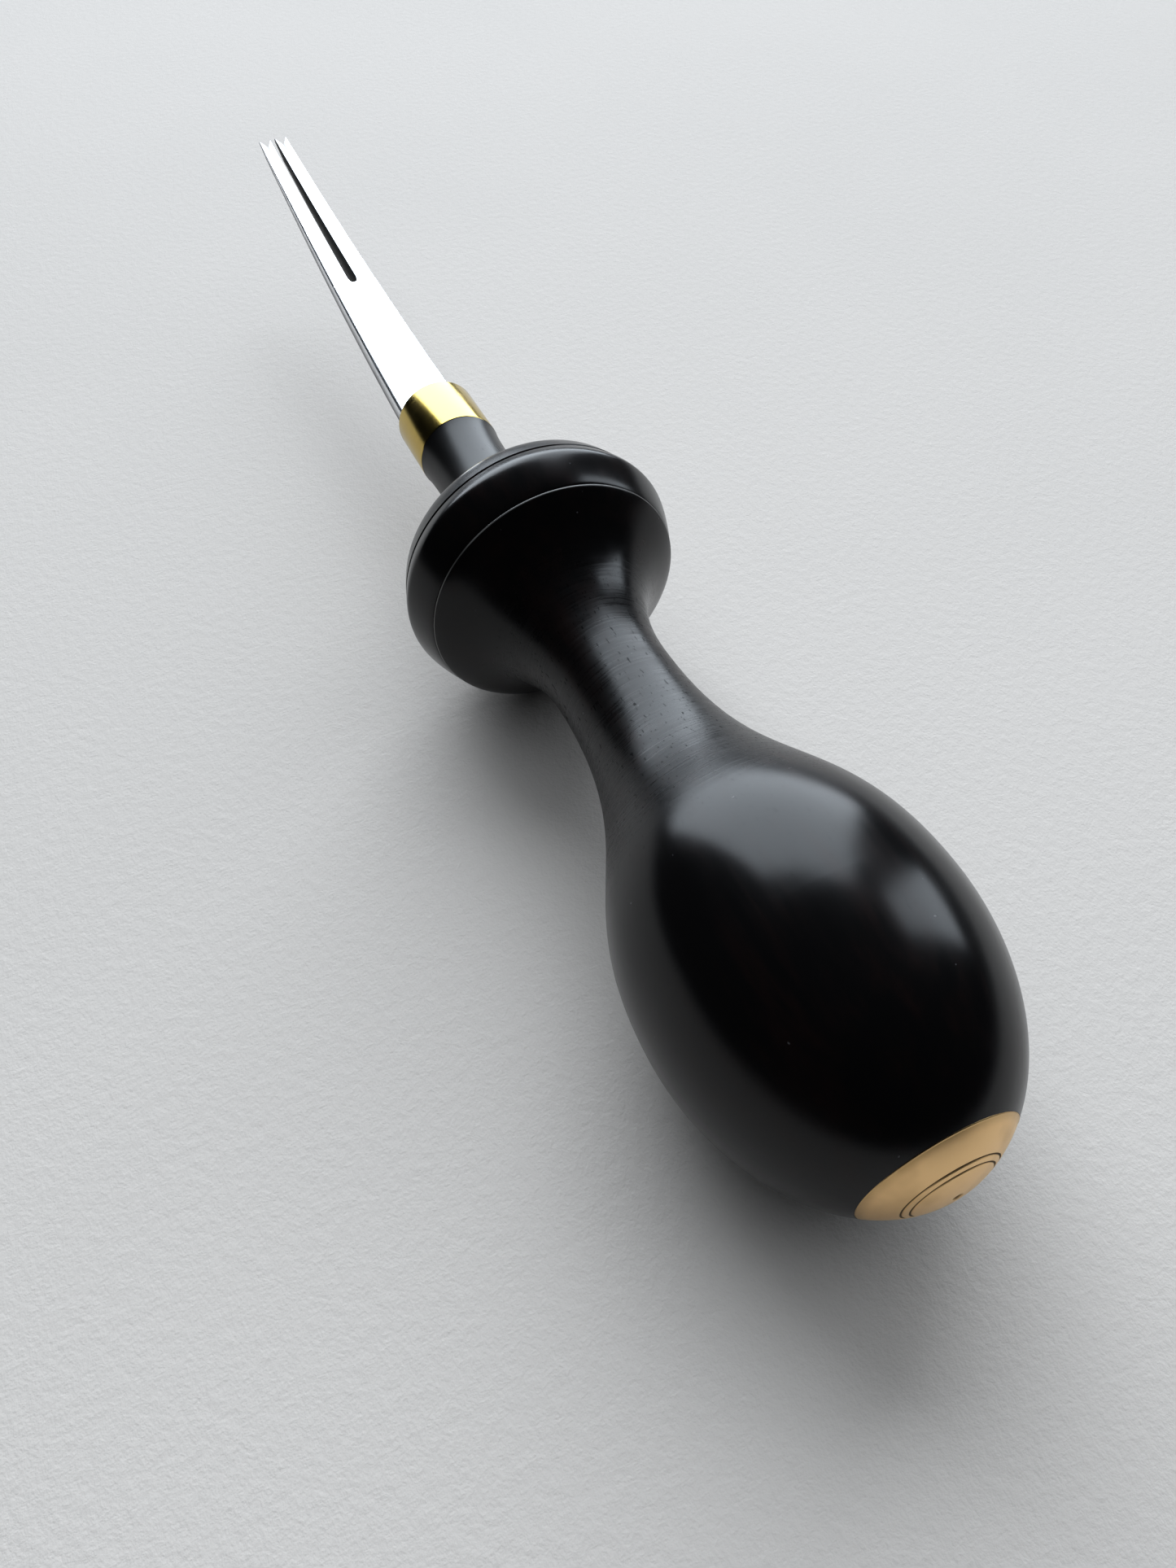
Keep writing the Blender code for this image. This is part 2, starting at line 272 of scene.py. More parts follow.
def handleOutline():
    sizes = handleSizes
    seam = tool["seam"]
    capRadius = capSizes["radius"] + seam
    recess = buttStation(capSizes["radius"]) + capSizes["rim"] + seam
    spigot = capSizes["spigotRadius"] + seam
    spigotEnd = recess + capSizes["spigotLength"]
    outline = [(spigotEnd, 0), (spigotEnd, spigot), (recess, spigot), (recess, capRadius)]
    outline += buttArc(capRadius, butt["radius"] * butt["widest"], butt["steps"])
    outline += bezier(
        (butt["length"], butt["radius"]),
        (butt["length"] + sizes["bulbFullness"] * sizes["waistLength"], butt["radius"]),
        (waistStation - sizes["waistFullness"] * sizes["waistLength"], sizes["waistRadius"]),
        (waistStation, sizes["waistRadius"]),
        sizes["waistSteps"],
    )
    runOut = sizes["coveRunOut"] * sizes["coveLength"]
    edge = flange["arrisEdge"]
    reach = edge * flange["arrisReach"]
    outline += bezier(
        (waistStation, sizes["waistRadius"]),
        (waistStation + sizes["coveFullness"] * sizes["coveLength"], sizes["waistRadius"]),
        (arrisStation - runOut, flange["arris"] - runOut),
        (arrisStation - reach, flange["arris"] - reach),
        sizes["coveSteps"],
    )
    # the rounding goes on at the slope at which the cove arrives
    slope = flange["coveSlope"]
    rounding = (arrisStation + edge * slopeOf(slope / 2), flange["arris"] - edge)
    outline += ellipse(rounding, (edge, edge), 90 + slope, 90 - slope, flange["arrisSteps"])
    outline += beadCurve()
    outline.append((beadEnd + flange["quirkWidth"] / 2, flange["beadFront"] - flange["quirkDepth"]))
    outline += lipCurve()
    thinnest = ferruleSizes["radius"] - sizes["noseShrink"]
    outline += bezier(
        (flangeFront, sizes["noseRoot"]),
        (flangeFront + sizes["noseHollow"] * sizes["noseLength"], thinnest),
        (ferruleStart - sizes["noseFullness"] * sizes["noseLength"], thinnest),
        (ferruleStart, ferruleSizes["radius"]),
        sizes["noseSteps"],
    )
    tenon = ferruleSizes["radius"] - ferruleSizes["wall"] - seam
    outline += [(ferruleStart, tenon), (tenonEnd, tenon), (tenonEnd, boreRadius)]
    outline += [(boreEnd, boreRadius), (boreEnd, 0)]
    return thinned(outline)


def ferruleOutline():
    sizes = ferruleSizes
    start = ferruleStart + tool["seam"]
    edge = sizes["edge"]
    back, front = start + edge, ferruleEnd - edge
    inside, outside = sizes["radius"] - sizes["wall"] + edge, sizes["radius"] - edge
    # four rounded corners, from the back of the outside round to the back of the inside
    outline = []
    for corner, begin in (((back, outside), 180), ((front, outside), 90),
                          ((front, inside), 0), ((back, inside), -90)):
        outline += ellipse(corner, (edge, edge), begin, begin - 90, sizes["edgeSteps"])
    return thinned(outline + outline[:1])


class NodeBench:
    # makes nodes in a tree: settings go in first, then the values or links of the sockets

    def __init__(self, tree):
        self.tree = tree

    def node(self, kind, settings=None, sockets=None, out=0):
        made = self.tree.nodes.new(kind)
        for name, value in (settings or {}).items():
            setattr(made, name, value)
        for key, value in (sockets or {}).items():
            self.fill(self.socketOf(made, key), value)
        return Wire(self, made.outputs[out]) if made.outputs else made

    def socketOf(self, made, key):
        if isinstance(key, int):
            return made.inputs[key]
        return next(socket for socket in made.inputs if key in (socket.identifier, socket.name))

    def fill(self, socket, value):
        if isinstance(value, Wire):
            self.tree.links.new(value.socket, socket)
        else:
            socket.default_value = value

    def maths(self, operation, *values):
        return self.node("ShaderNodeMath", {"operation": operation}, dict(enumerate(values)))


class Wire:
    # one output socket, which can be written in sums

    def __init__(self, bench, socket):
        self.bench = bench
        self.socket = socket

    def other(self, number):
        # another output of the same node
        return Wire(self.bench, self.socket.node.outputs[number])

    def __add__(self, other):
        return self.bench.maths("ADD", self, other)

    def __radd__(self, other):
        return self.bench.maths("ADD", other, self)

    def __sub__(self, other):
        return self.bench.maths("SUBTRACT", self, other)

    def __rsub__(self, other):
        return self.bench.maths("SUBTRACT", other, self)

    def __mul__(self, other):
        return self.bench.maths("MULTIPLY", self, other)

    def __rmul__(self, other):
        return self.bench.maths("MULTIPLY", other, self)

    def __truediv__(self, other):
        return self.bench.maths("DIVIDE", self, other)


def latheTree():
    # turns an outline about the tool's axis
    tree = bpy.data.node_groups.new("lathe", "GeometryNodeTree")
    inputs = {"Outline": "Geometry", "Sides": "Int", "Chatter": "Float", "Chatter Scale": "Float",
              "Seed": "Float", "Finish": "Material"}
    for label, kind in inputs.items():
        tree.interface.new_socket(label, in_out="INPUT", socket_type="NodeSocket" + kind)
    tree.interface.new_socket("Turned", in_out="OUTPUT", socket_type="NodeSocketGeometry")
    bench = NodeBench(tree)
    given = tree.nodes.new("NodeGroupInput").outputs[:len(inputs)]
    outline, sides, chatter, chatterScale, seed, finish = [Wire(bench, socket) for socket in given]

    # a grid with one row for each point of the outline and one column for each side
    count = bench.node("GeometryNodeAttributeDomainSize", {"component": "MESH"}, {"Geometry": outline})
    columns = sides + 1
    grid = bench.node("GeometryNodeMeshGrid", None,
                      {"Size X": 1.0, "Size Y": 1.0, "Vertices X": count, "Vertices Y": columns})
    index = bench.node("GeometryNodeInputIndex")
    row = bench.maths("FLOOR", index / columns)
    column = bench.maths("MODULO", index, columns)
    angle = column * (2 * math.pi) / sides

    # the outline's point for that row, as station and radius
    position = bench.node("GeometryNodeInputPosition")
    sampled = bench.node("GeometryNodeSampleIndex", {"data_type": "FLOAT_VECTOR", "domain": "POINT"},
                         {"Geometry": outline, "Value": position, "Index": row})
    station = bench.node("ShaderNodeSeparateXYZ", None, {0: sampled})
    radius = station.other(1)

    # chatter only ever takes wood away, so the piece keeps inside its turned size
    noise = bench.node("ShaderNodeTexNoise", {"noise_dimensions": "4D"},
                       {"Vector": sampled, "W": seed, "Scale": chatterScale, "Detail": 1.0})
    turned = bench.maths("MAXIMUM", radius - chatter * noise, 0.0)
    onAxis = bench.maths("COMPARE", radius, 0.0, tool["onAxis"])
    turned = turned * (1 - onAxis)
    place = bench.node("ShaderNodeCombineXYZ", None,
                       {0: station, 1: turned * bench.maths("SINE", angle),
                        2: turned * bench.maths("COSINE", angle) * -1.0})
    moved = bench.node("GeometryNodeSetPosition", None, {"Geometry": grid, "Position": place})
    merged = bench.node("GeometryNodeMergeByDistance", None,
                        {"Geometry": moved, "Distance": tool["weld"]})
    real = bench.node("GeometryNodeRealizeInstances", None, {"Geometry": merged})
    painted = bench.node("GeometryNodeSetMaterial", None, {"Geometry": real, "Material": finish})
    bench.node("NodeGroupOutput", None, {"Turned": painted})
    return tree


lathe = latheTree()


def socketName(tree, label):
    return next(item.identifier for item in tree.interface.items_tree
                if item.name == label and item.in_out == "INPUT")


def plainMesh(source, name):
    # the evaluated mesh as a piece of its own, laid along the tool's axis
    graph = bpy.context.evaluated_depsgraph_get()
    mesh = bpy.data.meshes.new_from_object(source.evaluated_get(graph), depsgraph=graph)
    bpy.data.objects.remove(source)
    return finishedPiece(mesh, name)


def finishedPiece(mesh, name, sharpAngle=32):
    mesh.name = name
    mesh.transform(toPlace)
    bm = bmesh.new()
    bm.from_mesh(mesh)
    bmesh.ops.recalc_face_normals(bm, faces=bm.faces)
    bm.to_mesh(mesh)
    bm.free()
    mesh.shade_smooth()
    mesh.set_sharp_from_angle(angle=math.radians(sharpAngle))
    piece = bpy.data.objects.new(name, mesh)
    bpy.context.scene.collection.objects.link(piece)
    return piece


def turn(name, outline, material, chatter=0.0, chatterScale=60.0, seed=1.0):
    mesh = bpy.data.meshes.new(name + "Outline")
    points = [(station, radius * inFlats, 0) for station, radius in outline]
    mesh.from_pydata(points, [(i, i + 1) for i in range(len(points) - 1)], [])
    blank = bpy.data.objects.new(name + "Blank", mesh)
    bpy.context.scene.collection.objects.link(blank)
    modifier = blank.modifiers.new("lathe", "NODES")
    modifier.node_group = lathe
    inputs = {"Sides": tool["sides"], "Chatter": chatter, "Chatter Scale": chatterScale,
              "Seed": seed, "Finish": material}
    for label, value in inputs.items():
        modifier[socketName(lathe, label)] = value
    return plainMesh(blank, name)


def startFinish(name):
    material = bpy.data.materials.new(name)
    material.use_nodes = True
    material.node_tree.nodes.clear()
    return material, NodeBench(material.node_tree)


def toolCoordinates(bench):
    # station along x, and y and z from the axis
    coordinates = bench.node("ShaderNodeTexCoord", None, None, 3)
    return bench.node("ShaderNodeMapping", {"vector_type": "TEXTURE"},
                      {"Vector": coordinates, "Location": crown, "Rotation": (0, -tilt, 0)})


def stretched(bench, coordinates, scales):
    return bench.node("ShaderNodeVectorMath", {"operation": "MULTIPLY"}, {0: coordinates, 1: scales})


def noiseOn(bench, vector, detail=2.0, roughness=0.5, scale=1.0):
    return bench.node("ShaderNodeTexNoise", None,
                      {"Vector": vector, "Scale": scale, "Detail": detail, "Roughness": roughness})


def noiseAt(bench, place, scales, detail=2.0, roughness=0.5):
    # noise with a scale for each direction: along the tool, across it and up
    return noiseOn(bench, stretched(bench, place, scales), detail, roughness)


def between(bench, value, low, high, toLow=0.0, toHigh=1.0):
    return bench.node("ShaderNodeMapRange", {"interpolation_type": "SMOOTHSTEP", "clamp": True},
                      {"Value": value, "From Min": low, "From Max": high,
                       "To Min": toLow, "To Max": toHigh})


def mixed(bench, factor, first, second):
    made = bench.node("ShaderNodeMix", {"data_type": "RGBA"},
                      {"Factor_Float": factor, "A_Color": first, "B_Color": second})
    return made.other(2)


def bump(bench, height, distance):
    return bench.node("ShaderNodeBump", None, {"Height": height, "Distance": distance, "Strength": 1.0})


def shade(bench, sockets):
    shader = bench.node("ShaderNodeBsdfPrincipled", None, sockets)
    bench.node("ShaderNodeOutputMaterial", None, {"Surface": shader})


def colour(red, green, blue):
    return (red, green, blue, 1.0)


ebonyLook = {
    "black": colour(0.0050, 0.0046, 0.0048),
    "brown": colour(0.0115, 0.0062, 0.0056),
    "pore": colour(0.0015, 0.0013, 0.0013),
    "dust": colour(0.30, 0.30, 0.31),
    "edgeHighlight": colour(0.13, 0.125, 0.12),  # painted highlight along the arris and the bead's front edge
    "highlightBand": 0.00012,                  # half the width of a painted edge highlight
    "arrisHighlight": 0.9,
    "beadHighlight": 0.35,
    "fibre": (70, 900, 900),            # grain, stretched along the handle
    "patches": (60, 160, 160),
    "pores": (900, 5200, 5200),
    "poreCut": (0.68, 0.73),
    "openPores": (0.10, 0.55),          # how open they are everywhere, and how much more at the waist
    "rings": (4600, 150, 150),          # sanding lines round the handle
    "fineRings": (9000, 260, 260),
    "ringPatches": (300, 200, 200),
    "specks": (2400, 2400, 2400),
    "dustCut": (0.89, 0.91),
    "dustShare": 0.2,
    "brownCut": (0.50, 0.78),
    "brownShare": 0.9,
    "brownGrain": 0.6,                  # what the brown follows: the grain and broad patches
    "brownPatches": 0.5,
    "highlightCut": (0.30, 0.60),
    "leastHighlight": 0.5,
    "noseRun": 0.002,
    "waistBegin": (0.008, 0.017),       # sanding shows from here past the middle of the bulb
    "waistEnd": (0.007, 0.001),         # until here before the arris
    "polish": 0.22,
    "matt": 0.07,                       # how much rougher the waist is, where sanding shows
    "uneven": 0.20,                     # how much the polish varies from patch to patch
    "noseMatt": 0.10,
    "grainRough": 0.08,
    "ringRough": 0.30,
    "ringPatchRough": 0.05,
    "relief": 0.0000072,
    "ringsElsewhere": 0.05,             # share of the rings' relief that is left away from the waist
    "fineRelief": 0.4,
    "grainRelief": 0.08,
    "index": 1.41,
}


def ebonyFinish():
    look = ebonyLook
    material, bench = startFinish("ebony polished")
    place = toolCoordinates(bench)
    station = bench.node("ShaderNodeSeparateXYZ", None, {0: place})
    grain = noiseAt(bench, place, look["fibre"], 5.0, 0.62)
    patches = noiseAt(bench, place, look["patches"])
    pores = between(bench, noiseAt(bench, place, look["pores"], 1.0), *look["poreCut"])
    rings = noiseAt(bench, place, look["rings"], 2.0, 0.6)
    fineRings = noiseAt(bench, place, look["fineRings"], 2.0, 0.6)
    ringPatches = noiseAt(bench, place, look["ringPatches"])
    dust = between(bench, noiseAt(bench, place, look["specks"], 0.0), *look["dustCut"])

    # sanding shows from the shoulder of the bulb to the cove
    begin = [butt["length"] + past for past in look["waistBegin"]]
    end = [arrisStation - before for before in look["waistEnd"]]
    waist = between(bench, station, *begin) * between(bench, station, *end, 1.0, 0.0)

    brownish = grain * look["brownGrain"] + patches * look["brownPatches"]
    brownish = between(bench, brownish, *look["brownCut"])
    wood = mixed(bench, brownish * look["brownShare"], look["black"], look["brown"])
    dusty = mixed(bench, dust * look["dustShare"], wood, look["dust"])
    # painted highlight: the arris and the bead's front edge are made lighter grey, broken up in patches
    edgeHighlight = 0.0
    arrisMiddle = arrisStation + flange["arrisEdge"] * flange["arrisReach"]
    for edge, glint in ((arrisMiddle, look["arrisHighlight"]), (beadEnd, look["beadHighlight"])):
        away = bench.maths("ABSOLUTE", station - edge)
        highlightBand = between(bench, away, look["highlightBand"] / 2, look["highlightBand"], glint, 0.0)
        edgeHighlight = bench.maths("MAXIMUM", highlightBand, edgeHighlight)
    edgeHighlight = edgeHighlight * between(bench, patches, *look["highlightCut"], look["leastHighlight"], 1.0)
    surface = mixed(bench, edgeHighlight, dusty, look["edgeHighlight"])
    nose = between(bench, station, flangeFront, flangeFront + look["noseRun"])
    roughness = look["polish"] + waist * look["matt"] + nose * look["noseMatt"]
    roughness = roughness + (grain - 0.5) * look["grainRough"] + (patches - 0.5) * look["uneven"]
    roughness = roughness + (ringPatches - 0.5) * look["ringPatchRough"]
    roughness = roughness + waist * (rings - 0.5) * look["ringRough"]
    elsewhere = look["ringsElsewhere"]
    height = (rings + fineRings * look["fineRelief"]) * (elsewhere + waist * (1 - elsewhere))
    height = height + grain * look["grainRelief"]
    polished = bench.node("ShaderNodeBsdfPrincipled", None, {
        "Base Color": surface, "Roughness": roughness, "IOR": look["index"],
        "Normal": bump(bench, height, look["relief"])})
    # open pores are unpolished and swallow the light
    openWood = bench.node("ShaderNodeBsdfDiffuse", None, {"Color": look["pore"]})
    everywhere, more = look["openPores"]
    mixture = bench.node("ShaderNodeMixShader", None,
                         {0: pores * (everywhere + waist * more), 1: polished, 2: openWood})
    bench.node("ShaderNodeOutputMaterial", None, {"Surface": mixture})
    return material


brassLook = {
    "gold": colour(0.51, 0.385, 0.115),
    "rosy": colour(0.92, 0.64, 0.34),
    "brown": colour(0.40, 0.27, 0.12),
    "dark": colour(0.05, 0.035, 0.02),  # wax
    "haze": (300, 300, 300),
    "hazeCut": (0.46, 0.74),
    "hazeShare": 0.22,
    "scuffs": (900, 3600, 1500),
    "scuffCut": (0.68, 0.74),
    "relief": 0.0000022,
    "hazeRough": 0.05,
    "lineRough": 0.12,
    "scuffRough": 0.04,
    "ferrulePolish": 0.17,
    "ferruleLines": (5200, 1600),       # how fine: along the tool, and out from its axis
    "capPolish": 0.35,
    "capLines": (0, 6400),
    "dimpleCut": (0.55, 1.1),           # where wax ends, as shares of the mark, of a ring and of the cap
    "ringCut": (0.22, 0.5),
    "rimCut": (0.88, 0.998),
    "rimShare": 0.45,
    "waxShare": 0.88,
    "waxRough": 0.3,
}


def brassFinish(name, clean, polish, lineScales):
    # turned brass: lines round the tube, and rings on an end face
    look = brassLook
    material, bench = startFinish(name)
    place = toolCoordinates(bench)
    station = bench.node("ShaderNodeSeparateXYZ", None, {0: place})
    across = bench.node("ShaderNodeCombineXYZ", None, {1: station.other(1), 2: station.other(2)})
    radius = bench.node("ShaderNodeVectorMath", {"operation": "LENGTH"}, {0: across}, 1)
    lineSpace = bench.node("ShaderNodeCombineXYZ", None,
                           {0: station * lineScales[0], 1: radius * lineScales[1]})
    lines = noiseOn(bench, lineSpace, 3.0, 0.65)
    haze = between(bench, noiseAt(bench, place, look["haze"]), *look["hazeCut"])
    scuffs = between(bench, noiseAt(bench, place, look["scuffs"], 1.0), *look["scuffCut"])
    metal = mixed(bench, haze * look["hazeShare"], clean, look["brown"])
    roughness = polish + haze * look["hazeRough"] + scuffs * look["scuffRough"]
    roughness = roughness + (lines - 0.5) * look["lineRough"]
    sockets = {"Base Color": metal, "Roughness": roughness, "Metallic": 1.0,
               "Normal": bump(bench, lines, look["relief"])}
    return material, bench, sockets, radius


def ferruleFinish():
    look = brassLook
    material, bench, sockets = brassFinish(
        "brass turned", look["gold"], look["ferrulePolish"], look["ferruleLines"])[:3]
    shade(bench, sockets)
    return material


def capFinish():
    look = brassLook
    material, bench, sockets, radius = brassFinish(
        "brass satin", look["rosy"], look["capPolish"], look["capLines"])
    # dark wax is left in the rings, in the centre mark and along the seam with the wood
    dimple, width, rim = capSizes["dimple"], capSizes["ringWidth"], capSizes["radius"]
    grooves = between(bench, radius, *[dimple * share for share in look["dimpleCut"]], 1.0, 0.0)
    for ring in capSizes["rings"]:
        away = bench.maths("ABSOLUTE", radius - ring)
        groove = between(bench, away, *[width * share for share in look["ringCut"]], 1.0, 0.0)
        grooves = bench.maths("MAXIMUM", grooves, groove)
    seamWax = between(bench, radius, *[rim * share for share in look["rimCut"]])
    warm = mixed(bench, seamWax * look["rimShare"], sockets["Base Color"], look["brown"])
    sockets["Base Color"] = mixed(bench, grooves * look["waxShare"], warm, look["dark"])
    sockets["Roughness"] = sockets["Roughness"] + grooves * look["waxRough"]
    shade(bench, sockets)
    return material


steelLook = {
    "bright": colour(0.78, 0.79, 0.81),
    "grey": colour(0.52, 0.53, 0.56),
    "shadeLilac": colour(0.180, 0.176, 0.192),   # painted shade in the flutes near the points
    # the dark colour of the painted shade on the blade, and of its pits
    "scale": colour(0.045, 0.043, 0.038),
    "lines": (160, 7000, 2600),
    "crossLines": (5200, 500, 500),
    "clouds": (260, 700, 700),
    "cloudCut": (0.42, 0.76),
    "cloudShare": 0.4,
    "pits": (3400, 3400, 3400),
    "pitCut": (0.74, 0.79),
    "pitShare": 0.5,
    "polish": 0.24,
    "cloudRough": 0.08,
    "lineRough": 0.16,
    "shadeRough": 0.32,
    "pitRough": 0.2,
    "shadeDull": 0.7,       # how much less metallic the steel is where shade is painted
    "relief": 0.0000016,
    "crossRelief": 0.25,
    "pitRelief": 0.8,
}


def steelFinish():
    look = steelLook
    material, bench = startFinish("steel ground")
    place = toolCoordinates(bench)
    paintedShade = bench.node("ShaderNodeAttribute", {"attribute_name": "paintedShade"}, None, 2)
    fluteShade = bench.node("ShaderNodeAttribute", {"attribute_name": "fluteShade"}, None, 2)
    lines = noiseAt(bench, place, look["lines"], 3.0, 0.65)
    crossLines = noiseAt(bench, place, look["crossLines"], 2.0, 0.6)
    cloud = between(bench, noiseAt(bench, place, look["clouds"], 3.0), *look["cloudCut"])
    pits = between(bench, noiseAt(bench, place, look["pits"], 1.0), *look["pitCut"])
    metal = mixed(bench, cloud * look["cloudShare"], look["bright"], look["grey"])
    # painted shade in the flutes near the points, in a lilac grey
    metal = mixed(bench, fluteShade, metal, look["shadeLilac"])
    # painted shade in the slot, on the sides and underneath, together with the pits, darkens the steel
    black = bench.maths("MAXIMUM", paintedShade, pits * look["pitShare"])
    metal = mixed(bench, black, metal, look["scale"])
    roughness = look["polish"] + cloud * look["cloudRough"] + (lines - 0.5) * look["lineRough"]
    roughness = roughness + paintedShade * look["shadeRough"] + pits * look["pitRough"]
    height = lines + crossLines * look["crossRelief"] - pits * look["pitRelief"]
    shade(bench, {"Base Color": metal, "Roughness": roughness,
                  "Metallic": 1 - paintedShade * look["shadeDull"],
                  "Normal": bump(bench, height, look["relief"])})
    return material


resinLook = {
    "deep": colour(0.012, 0.010, 0.009),
    "pale": colour(0.035, 0.026, 0.018),
    "flow": (900, 900, 900),
    "flowCut": (0.35, 0.7),
    "bubbles": (4200, 4200, 4200),
    "bubbleCut": (0.70, 0.76),
    "polish": 0.28,
    "flowRough": 0.2,
    "bubbleRough": 0.3,
    "relief": 0.00003,
    "bubbleRelief": 0.6,
}


def resinFinish():
    look = resinLook
    material, bench = startFinish("resin cast")
    place = toolCoordinates(bench)
    flow = noiseAt(bench, place, look["flow"], 4.0)
    bubbles = between(bench, noiseAt(bench, place, look["bubbles"], 0.0), *look["bubbleCut"])
    tint = mixed(bench, between(bench, flow, *look["flowCut"]), look["deep"], look["pale"])
    roughness = look["polish"] + flow * look["flowRough"] + bubbles * look["bubbleRough"]
    shade(bench, {"Base Color": tint, "Roughness": roughness,
                  "Normal": bump(bench, flow - bubbles * look["bubbleRelief"], look["relief"])})
    return material


paperLook = {
    "dull": colour(0.545, 0.507, 0.472),
    "bright": colour(0.56, 0.52, 0.484),
    # the dark colour of the painted shade on the paper far from the tool
    "far": colour(0.10, 0.10, 0.10),
    "shadeStart": 0.23,      # painted shade: the paper is darkened away from the tool
    "shadeEnd": 0.36,
    "tooth": 900,
    "fineTooth": 3400,
    "fineShare": 0.5,
    "grit": 0.6,            # roughness of the noise itself
    "clouds": 9,
    "cloudCut": (0.3, 0.7),
    "roughness": 0.82,
    "relief": 0.00008,
}


def paperFinish():
    look = paperLook
    material, bench = startFinish("paper")
    place = bench.node("ShaderNodeTexCoord", None, None, 3)
    tooth = noiseOn(bench, place, 3.0, look["grit"], look["tooth"])
    fine = noiseOn(bench, place, 2.0, look["grit"], look["fineTooth"])
    cloud = between(bench, noiseOn(bench, place, 3.0, look["grit"], look["clouds"]), *look["cloudCut"])
    sheet = mixed(bench, cloud, look["dull"], look["bright"])
    away = bench.node("ShaderNodeVectorMath", {"operation": "LENGTH"}, {0: place}, 1)
    # painted shade: away from the tool the paper is darkened towards the far colour
    paintedShadeSheet = mixed(bench, between(bench, away, look["shadeStart"], look["shadeEnd"]), sheet, look["far"])
    shade(bench, {"Base Color": paintedShadeSheet, "Roughness": look["roughness"],
                  "Normal": bump(bench, tooth + fine * look["fineShare"], look["relief"])})
    return material


handle = turn("handle_ebony", handleOutline(), ebonyFinish(),
              chatter=handleSizes["chatter"], chatterScale=handleSizes["chatterScale"], seed=4.0)
print("handle turned:", len(handle.data.polygons), "faces")
cap = turn("cap_brass", capOutline(), capFinish())
print("end cap turned:", len(cap.data.polygons), "faces")
ferrule = turn("ferrule_brass", ferruleOutline(), ferruleFinish())
print("ferrule turned:", len(ferrule.data.polygons), "faces")


blade = {
    "length": 0.0636,           # from the ferrule to the points
    "clearance": 0.0004,        # from its sides to the bore of the ferrule
    "tipWidth": 0.0039,
    "rootThickness": 0.0034,    # at the middle of its rounded belly
    "tipThickness": 0.0012,
    "thinningPower": 2.2,
    "belly": 0.45,              # share of the thickness that the belly rounds over
    "topHeight": 0.0007,        # top face above the axis at the root
    "sweep": 0.0059,
    "sweepPower": 1.6,
    "rootEdge": 0.0007,         # width of the rounding along the long edges
    "tipEdge": 0.00012,
    "steepest": 0.45,
    "slotLength": 0.0347,
    "slotRoot": 0.00105,
    "slotTip": 0.00055,
    "slotEnd": 0.0015,          # the pointed oval that the slot starts in
    "slotEdge": 0.00010,        # rounding along the slot
    "crown": 0.00007,           # how much the top of a prong is rounded over
    "fluteLength": 0.0110,
    "fluteDepth": 0.00045,
    "fluteFade": 0.8,           # power by which the flute runs out
    "notchDepth": 0.0016,
    "notchRun": 0.0040,
    "notchFade": 1.5,
    "grind": 0.0030,
    "endThickness": 0.00055,
    "shoulder": 0.0008,
    "shoulderGap": 0.0003,      # from the shoulder to the end of the tenon
    "tangLength": 0.0330,
    "tangWidth": 0.0030,
    "tangThickness": 0.0018,
    "tangEdge": 0.0003,
    "rows": 220,
    "edgeColumns": 8,
    "topColumns": 18,
    "slotEndRows": 12,
    "notchRows": 24,
    "leastStep": 0.000015,
    "weld": 0.0000008,
}
tipStation = ferruleEnd + blade["length"]
slotStart = tipStation - blade["slotLength"]
shoulderStation = tenonEnd + blade["shoulderGap"]


def bladeShare(station):
    return max(0.0, (station - ferruleEnd) / blade["length"])


def slotHalf(station):
    run = station - slotStart
    root = blade["slotRoot"] / 2
    if run <= 0:
        return 0.0
    narrowed = root + (blade["slotTip"] - blade["slotRoot"]) / 2 * run / blade["slotLength"]
    if run < blade["slotEnd"]:
        return narrowed * math.sqrt(1 - (1 - run / blade["slotEnd"]) ** 2)
    return narrowed


def bladeProfile(station):
    # half width, top, bottom and edge of the cross-section at a station
    share = bladeShare(station)
    rootHalf = ferruleSizes["radius"] - ferruleSizes["wall"] - blade["clearance"]
    half = rootHalf + (blade["tipWidth"] / 2 - rootHalf) * share
    top = blade["topHeight"] + blade["sweep"] * share ** blade["sweepPower"]
    thinning = share ** blade["thinningPower"]
    thickness = blade["rootThickness"] + (blade["tipThickness"] - blade["rootThickness"]) * thinning
    ground = max(0.0, 1 - (tipStation - station) / blade["grind"])
    thickness += (blade["endThickness"] - thickness) * ground
    edge = blade["rootEdge"] + (blade["tipEdge"] - blade["rootEdge"]) * share
    return half, top, top - thickness, edge


def towardsTip(station, run):
    # from 0 at this distance behind the points to 1 at the points
    return max(0.0, 1 - (tipStation - station) / run)


